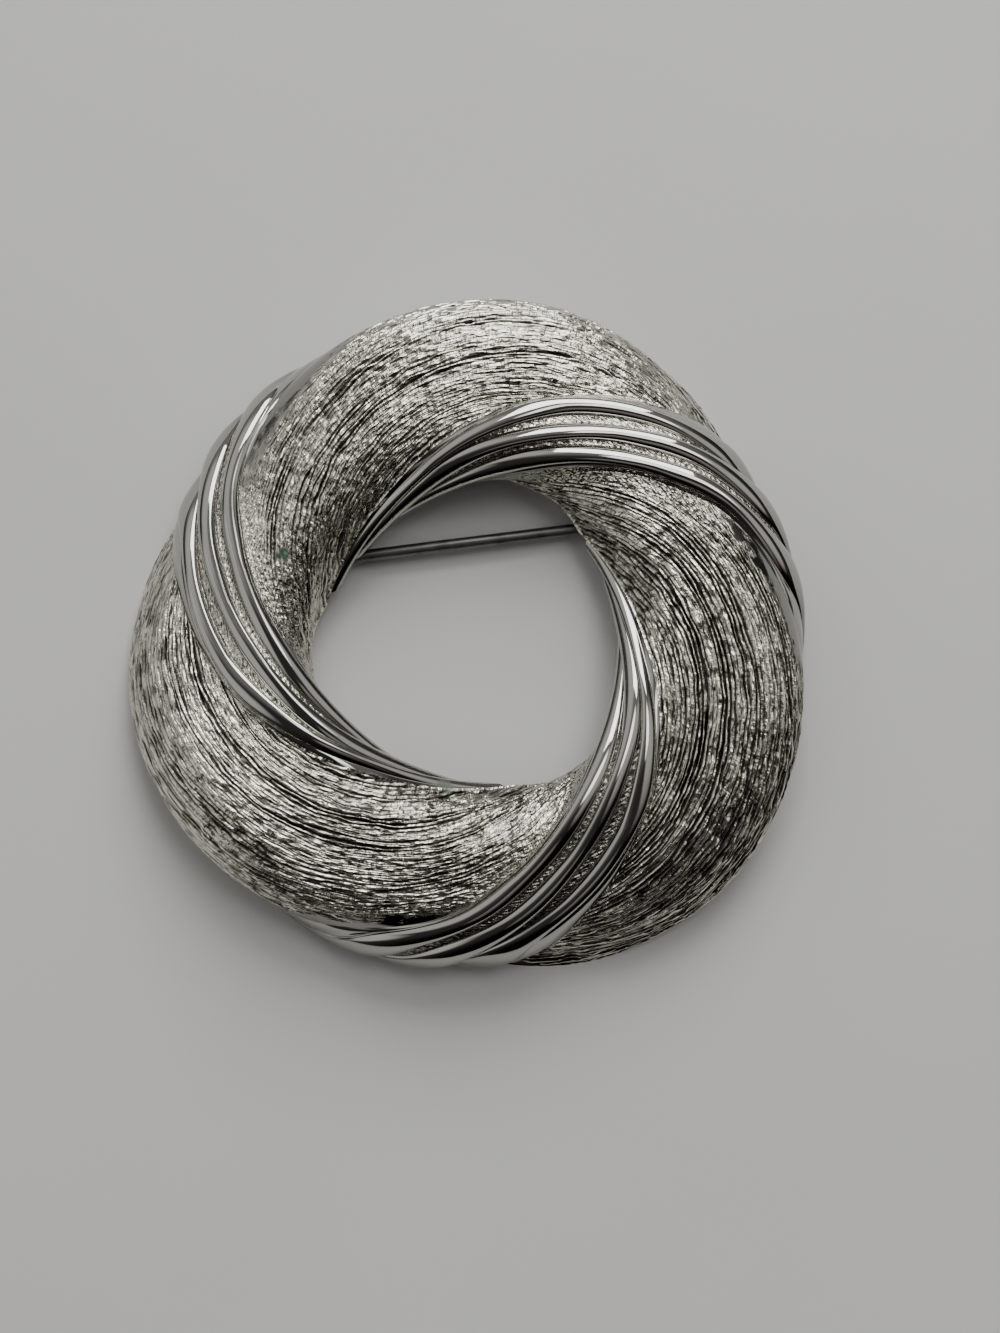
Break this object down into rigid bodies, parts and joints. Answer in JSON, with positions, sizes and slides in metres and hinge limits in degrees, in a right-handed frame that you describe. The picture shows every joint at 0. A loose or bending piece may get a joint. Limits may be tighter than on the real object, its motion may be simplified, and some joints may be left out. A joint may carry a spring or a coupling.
{
  "type": "circle brooch",
  "caption": "Silver-tone circle brooch: a cast twisted-rope ring of engraved lobes and ribbed bands, hollow at the back, with a hinged pin stem and a catch.",
  "frame": {"origin": "on the ring's axis, in the plane of the back", "axes": "+Z out of the face, +X along the pin stem from hinge to catch, +Y towards the side of the ring where the stem lies"},
  "size_m": [0.0503, 0.0499, 0.0075],
  "materials": {
    "plated_casting": "polished ribs, engraved lobes",
    "pin_wire": "drawn and plated"
  },
  "bodies": {
    "brooch": {"swirl_ring": "plated_casting", "hinge_rivet": "pin_wire"},
    "pin": {"pin_stem": "pin_wire"}
  },
  "joints": [
    {"name": "pin_hinge", "type": "hinge", "parent": "brooch", "child": "pin", "pos_m": [-0.0155, 0.0074, 0.0012], "axis": [0, 1, 0], "range_deg": [0, 100]}
  ]
}
